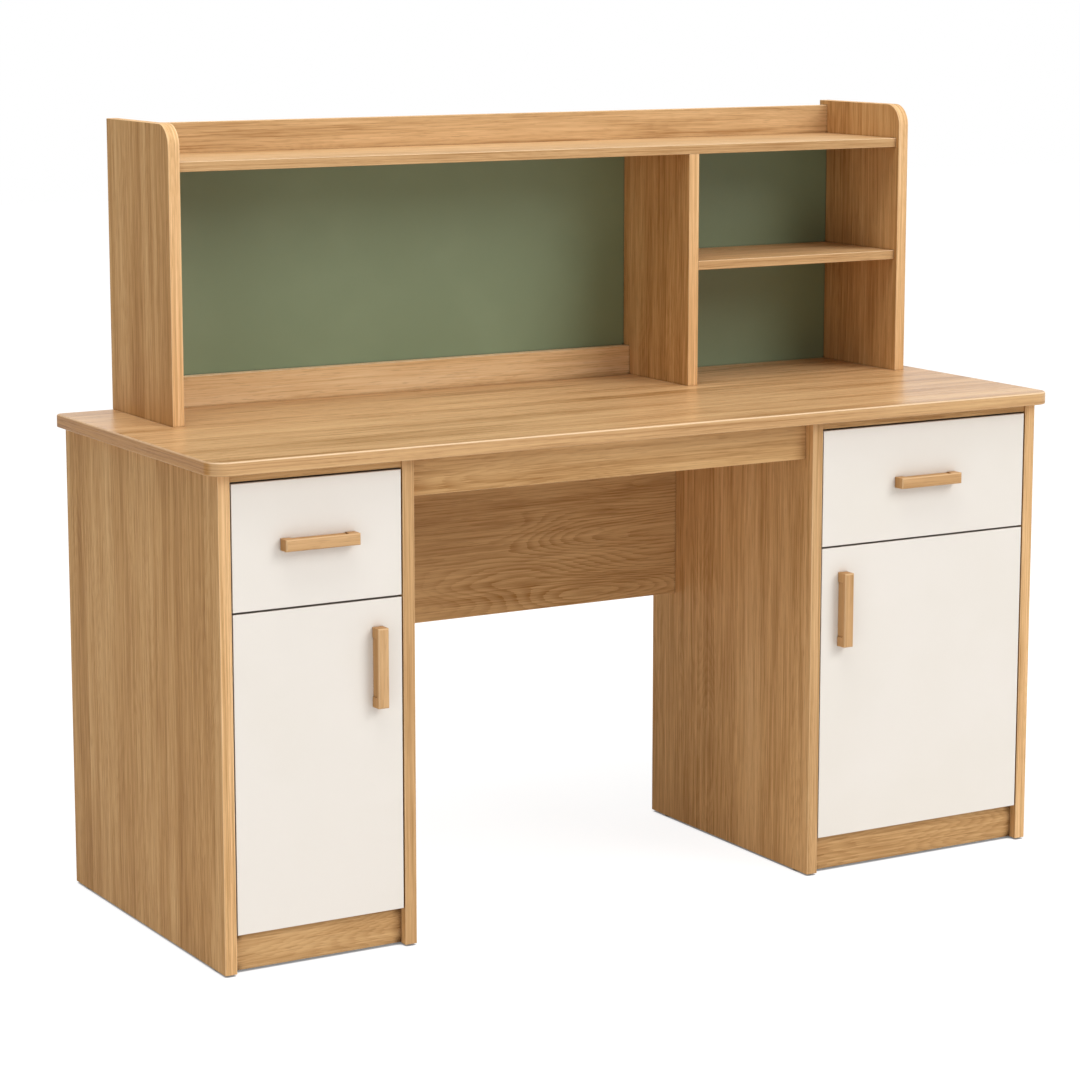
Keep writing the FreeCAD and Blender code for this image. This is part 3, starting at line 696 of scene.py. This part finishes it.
def setFasteners(name, body, look, finish, seats):
    mesh = bpy.data.meshes.new(name)
    mesh.from_pydata([place for place, facing in seats], [], [])
    facings = mesh.attributes.new("facing", "FLOAT_VECTOR", "POINT")
    for item, (place, facing) in zip(facings.data, seats):
        item.vector = facing
    piece = bpy.data.objects.new(name, mesh)
    bpy.context.scene.collection.objects.link(piece)
    modifier = piece.modifiers.new("fasteners", "NODES")
    modifier.node_group = fastenerTree
    values = dict(look, Finish=finish)
    for socket in fastenerTree.interface.items_tree:
        if socket.in_out == "INPUT" and socket.name in values:
            modifier[socket.identifier] = values[socket.name]
    made = piece.evaluated_get(bpy.context.evaluated_depsgraph_get())
    solid = bpy.data.meshes.new_from_object(made)
    piece.modifiers.clear()
    piece.data = solid
    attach(piece, body)
    print(name, "on", body, len(seats), "seats,", len(solid.polygons), "faces")


cupScrew = {
    "Head Radius": 0.0038, "Crown Radius": 0.0027, "Head Height": 0.0013,
    "Recess Length": 0.0036, "Recess Width": 0.0009, "Recess Depth": 0.0009, "Turn Seed": 3,
}
plateScrew = dict(cupScrew, **{"Head Radius": 0.0042, "Crown Radius": 0.0030, "Turn Seed": 5})
armScrew = dict(
    cupScrew, **{"Head Radius": 0.0032, "Crown Radius": 0.0027, "Head Height": 0.0008, "Turn Seed": 7}
)
runnerScrew = dict(
    cupScrew, **{"Head Radius": 0.0036, "Crown Radius": 0.0033, "Head Height": 0.0003,
                 "Recess Depth": 0.0002, "Turn Seed": 9}
)
handleScrew = dict(
    cupScrew, **{"Head Radius": 0.0044, "Crown Radius": 0.0030, "Head Height": 0.0016, "Turn Seed": 11}
)
camDisc = dict(
    cupScrew, **{"Head Radius": 0.0075, "Crown Radius": 0.0072, "Head Height": 0.0004,
                 "Recess Length": 0.0075, "Recess Width": 0.0016, "Recess Depth": 0.0003, "Turn Seed": 13}
)
panelNail = dict(
    cupScrew, **{"Head Radius": 0.0016, "Crown Radius": 0.0011, "Head Height": 0.0005,
                 "Recess Length": 0.0006, "Recess Width": 0.0006, "Recess Depth": 0.0001, "Turn Seed": 15}
)

fastenerPlaces = {
    "pair": (-0.5, 0.5),             # two screws, in spacings from their middle
    "clear": 0.010,                  # metres off a board from which a seat is looked for
    "hingeClear": 0.040,             # the same, from the wall that carries the hinge arms
    "hingeEndInset": 0.080,          # hinge heights, in from the door's ends
    "lugSpacing": 0.048,
    "plateSpacing": 0.032, "plateY": -0.204,
    "armY": (-0.213, -0.192),
    "runnerFromFront": (0.037, 0.165, 0.325),
    "handleSpacing": 0.096,
    "nailSpacing": 0.075, "nailInset": 0.020,
    "camInset": 0.034,               # cams in from a board's ends
    "shelfCams": (0.25, 0.75),       # shares of a shelf's depth, and below them of a rail's height
    "railCams": {"apron": (0.5,), "modesty_panel": (0.2, 0.8), "hutch_gallery_rail": (0.5,)},
}

clear = fastenerPlaces["clear"]
toFront = Vector((0, -1, 0))
toTop = Vector((0, 0, 1))
plateScrews, hingeArmScrews, runnerScrews, nails, cams = [], [], [], [], []
for side, hand in (("left", 1), ("right", -1)):      # hand points from the outer side to the knee space
    doorLow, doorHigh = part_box(side + "_door")
    cupLow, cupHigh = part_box(side + "_hinge_cups")
    armLow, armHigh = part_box(side + "_hinge_arms")
    wallX = armLow.x if hand > 0 else armHigh.x
    startX = wallX + hand * fastenerPlaces["hingeClear"]
    toWall = Vector((-hand, 0, 0))
    cupX = (cupLow.x + cupHigh.x) / 2
    endInset = fastenerPlaces["hingeEndInset"]
    lugSeats = []
    for z in (doorLow.z + endInset, doorHigh.z - endInset):
        for step in fastenerPlaces["pair"]:
            lugZ = z + step * fastenerPlaces["lugSpacing"]
            lugSeats.append(seat(side + "_hinge_cups", (cupX, doorHigh.y + clear, lugZ), toFront))
            plateZ = z + step * fastenerPlaces["plateSpacing"]
            start = (startX, fastenerPlaces["plateY"], plateZ)
            plateScrews.append(seat(side + "_hinge_arms", start, toWall))
        for y in fastenerPlaces["armY"]:
            hingeArmScrews.append(seat(side + "_hinge_arms", (startX, y, z), toWall))
    setFasteners(side + "_cup_screws", side + "_door", cupScrew, nickelSteel, lugSeats)

    handleLow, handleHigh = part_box(side + "_door_handle")
    handle = (handleLow + handleHigh) / 2
    seats = []
    for step in fastenerPlaces["pair"]:
        z = handle.z + step * fastenerPlaces["handleSpacing"]
        seats.append(seat(side + "_door", (handle.x, doorHigh.y + clear, z), toFront))
    setFasteners(side + "_door_handle_screws", side + "_door", handleScrew, nickelSteel, seats)

    handleLow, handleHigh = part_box(side + "_drawer_handle")
    handle = (handleLow + handleHigh) / 2
    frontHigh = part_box(side + "_drawer_front")[1]
    seats = []
    for step in fastenerPlaces["pair"]:
        x = handle.x + step * fastenerPlaces["handleSpacing"]
        seats.append(seat(side + "_drawer_front", (x, frontHigh.y + clear, handle.z), toFront))
    setFasteners(side + "_drawer_handle_screws", side + "_drawer", handleScrew, nickelSteel, seats)

    runnerLow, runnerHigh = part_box(side + "_runner_channels")
    middle = (runnerLow + runnerHigh) / 2
    for depth in fastenerPlaces["runnerFromFront"]:
        for across in (-1, 1):
            start = (middle.x, runnerLow.y + depth, middle.z)
            runnerScrews.append(seat(side + "_runner_channels", start, Vector((across, 0, 0))))

    panelLow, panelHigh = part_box(side + "_back_panel")
    nailReach = panelHigh.x - panelLow.x - 2 * fastenerPlaces["nailInset"]
    count = round(nailReach / fastenerPlaces["nailSpacing"])
    for row in ("drawer_shelf", "cupboard_shelf", "cupboard_floor"):
        low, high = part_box(side + "_" + row)
        for index in range(count + 1):
            x = panelLow.x + fastenerPlaces["nailInset"] + nailReach * index / count
            start = (x, panelHigh.y + clear, (low.z + high.z) / 2)
            nails.append(seat(side + "_back_panel", start, toFront))

inset = fastenerPlaces["camInset"]
for name, rows in fastenerPlaces["railCams"].items():
    low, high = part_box(name)
    for x in (low.x + inset, high.x - inset):
        for row in rows:
            start = (x, high.y + clear, low.z + row * (high.z - low.z))
            cams.append(seat(name, start, toFront))
for name in ("hutch_top_shelf", "hutch_small_shelf"):
    low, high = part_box(name)
    for x in (low.x + inset, high.x - inset):
        for row in fastenerPlaces["shelfCams"]:
            start = (x, low.y + row * (high.y - low.y), low.z - clear)
            cams.append(seat(name, start, toTop))
setFasteners("hinge_plate_screws", "desk", plateScrew, nickelSteel, plateScrews)
setFasteners("hinge_arm_screws", "desk", armScrew, nickelSteel, hingeArmScrews)
setFasteners("runner_screws", "desk", runnerScrew, nickelSteel, runnerScrews)
setFasteners("panel_nails", "desk", panelNail, brassedNail, nails)
setFasteners("cam_discs", "desk", camDisc, zincCam, cams)


# Studio: white surroundings, a soft key from the upper right, and a pale floor

studio = {
    "surround": 1.0,                     # what the camera and glossy surfaces see
    "fill": 0.05, "fillAbove": 0.65,     # light from the surroundings, level and overhead
    "aim": (0.0, 0.0, 0.55),
    "lamps": {
        "keyLight": {"from": (0.50, -0.74, 0.57), "distance": 12.0, "size": 7.5, "power": 695.0},
        "topLight": {"from": (-0.22, -0.20, 0.95), "distance": 6.0, "size": 3.4, "power": 155.0},
        "leftFill": {"from": (-0.80, -0.55, 0.10), "distance": 7.0, "size": 3.0, "power": 50.0},
    },
    "floorReach": 14.0, "floorGlow": 0.86, "floorShown": 0.30, "floorBounce": 0.84,
    "contactReach": 0.008, "contactGlow": 0.08,          # painted contact shadow, a thin dark line where the desk meets the floor
    "contactSamples": 8, "contactShut": 0.15, "contactClear": 0.75,
}


def seenDirectly(tree):
    # 1 for what the camera sees straight, in a reflection or through glass
    path = tree.nodes.new("ShaderNodeLightPath")
    seen = calc(tree, "MAXIMUM", path.outputs["Is Camera Ray"], path.outputs["Is Glossy Ray"])
    return calc(tree, "MAXIMUM", seen, path.outputs["Is Transmission Ray"])


scene = bpy.context.scene
world = bpy.data.worlds.new("studioWorld")
world.use_nodes = True
scene.world = world
sky = world.node_tree
background = sky.nodes["Background"]
background.inputs["Color"].default_value = grey(1.0)
upward = axes(sky, sky.nodes.new("ShaderNodeTexCoord").outputs["Generated"])["Z"]
fill = calc(sky, "MULTIPLY_ADD", calc(sky, "MAXIMUM", upward, 0.0), studio["fillAbove"], studio["fill"])
strength = spread(sky, seenDirectly(sky), 0.0, 1.0, fill, studio["surround"])
sky.links.new(strength, background.inputs["Strength"])

for name, look in studio["lamps"].items():
    light = bpy.data.lights.new(name, "AREA")
    light.shape = "DISK"
    light.size = look["size"]
    light.energy = look["power"]
    lamp = bpy.data.objects.new(name, light)
    lampFrom = Vector(look["from"]).normalized()
    lamp.location = Vector(studio["aim"]) + lampFrom * look["distance"]
    lamp.rotation_euler = lampFrom.to_track_quat("Z", "Y").to_euler()
    scene.collection.objects.link(lamp)

floorMaterial = bpy.data.materials.new("paleFloor")
floorMaterial.use_nodes = True
tree = floorMaterial.node_tree
tree.nodes.clear()
output = tree.nodes.new("ShaderNodeOutputMaterial")
# painted contact shadow: the floor's glow dims where the desk stands close above it
contactShadow = tree.nodes.new("ShaderNodeAmbientOcclusion")
contactShadow.samples = studio["contactSamples"]
contactShadow.inputs["Distance"].default_value = studio["contactReach"]
floorLight = spread(
    tree, contactShadow.outputs["AO"], studio["contactShut"], studio["contactClear"],
    studio["contactGlow"], studio["floorGlow"]
)
glow = tree.nodes.new("ShaderNodeEmission")
tree.links.new(floorLight, glow.inputs["Strength"])
shown = tree.nodes.new("ShaderNodeBsdfDiffuse")
shown.inputs["Color"].default_value = grey(studio["floorShown"])
bounce = tree.nodes.new("ShaderNodeBsdfDiffuse")
bounce.inputs["Color"].default_value = grey(studio["floorBounce"])
lit = tree.nodes.new("ShaderNodeAddShader")
tree.links.new(glow.outputs[0], lit.inputs[0])
tree.links.new(shown.outputs[0], lit.inputs[1])
choice = tree.nodes.new("ShaderNodeMixShader")
tree.links.new(seenDirectly(tree), choice.inputs[0])
tree.links.new(bounce.outputs[0], choice.inputs[1])
tree.links.new(lit.outputs[0], choice.inputs[2])
tree.links.new(choice.outputs[0], output.inputs["Surface"])
reach = studio["floorReach"]
corners = [(-reach, -reach, 0), (reach, -reach, 0), (reach, reach, 0), (-reach, reach, 0)]
floorMesh = bpy.data.meshes.new("floor")
floorMesh.from_pydata(corners, [], [(0, 1, 2, 3)])
floorMesh.materials.append(floorMaterial)
floor = bpy.data.objects.new("floor", floorMesh)
scene.collection.objects.link(floor)
floor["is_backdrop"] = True
scene.view_settings.view_transform = "Standard"
print("studio set")


# Camera at the photograph's angle

cameraView = {
    "place": (-2.5404, -4.2436, 1.4284),
    "heading": 30.431, "down": 9.329,        # degrees to the right of straight on, and below level
    "lens": 105.27, "sensor": 36.0, "shiftY": -0.05, "clipEnd": 60.0,
}
lens = bpy.data.cameras.new("camera")
lens.sensor_width = cameraView["sensor"]
lens.lens = cameraView["lens"]
lens.shift_y = cameraView["shiftY"]
lens.clip_end = cameraView["clipEnd"]
camera = bpy.data.objects.new("camera", lens)
camera.location = cameraView["place"]
tilt = math.radians(90 - cameraView["down"])
camera.rotation_euler = (tilt, 0.0, math.radians(-cameraView["heading"]))
scene.collection.objects.link(camera)
scene.camera = camera
print("camera set")

low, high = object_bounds()
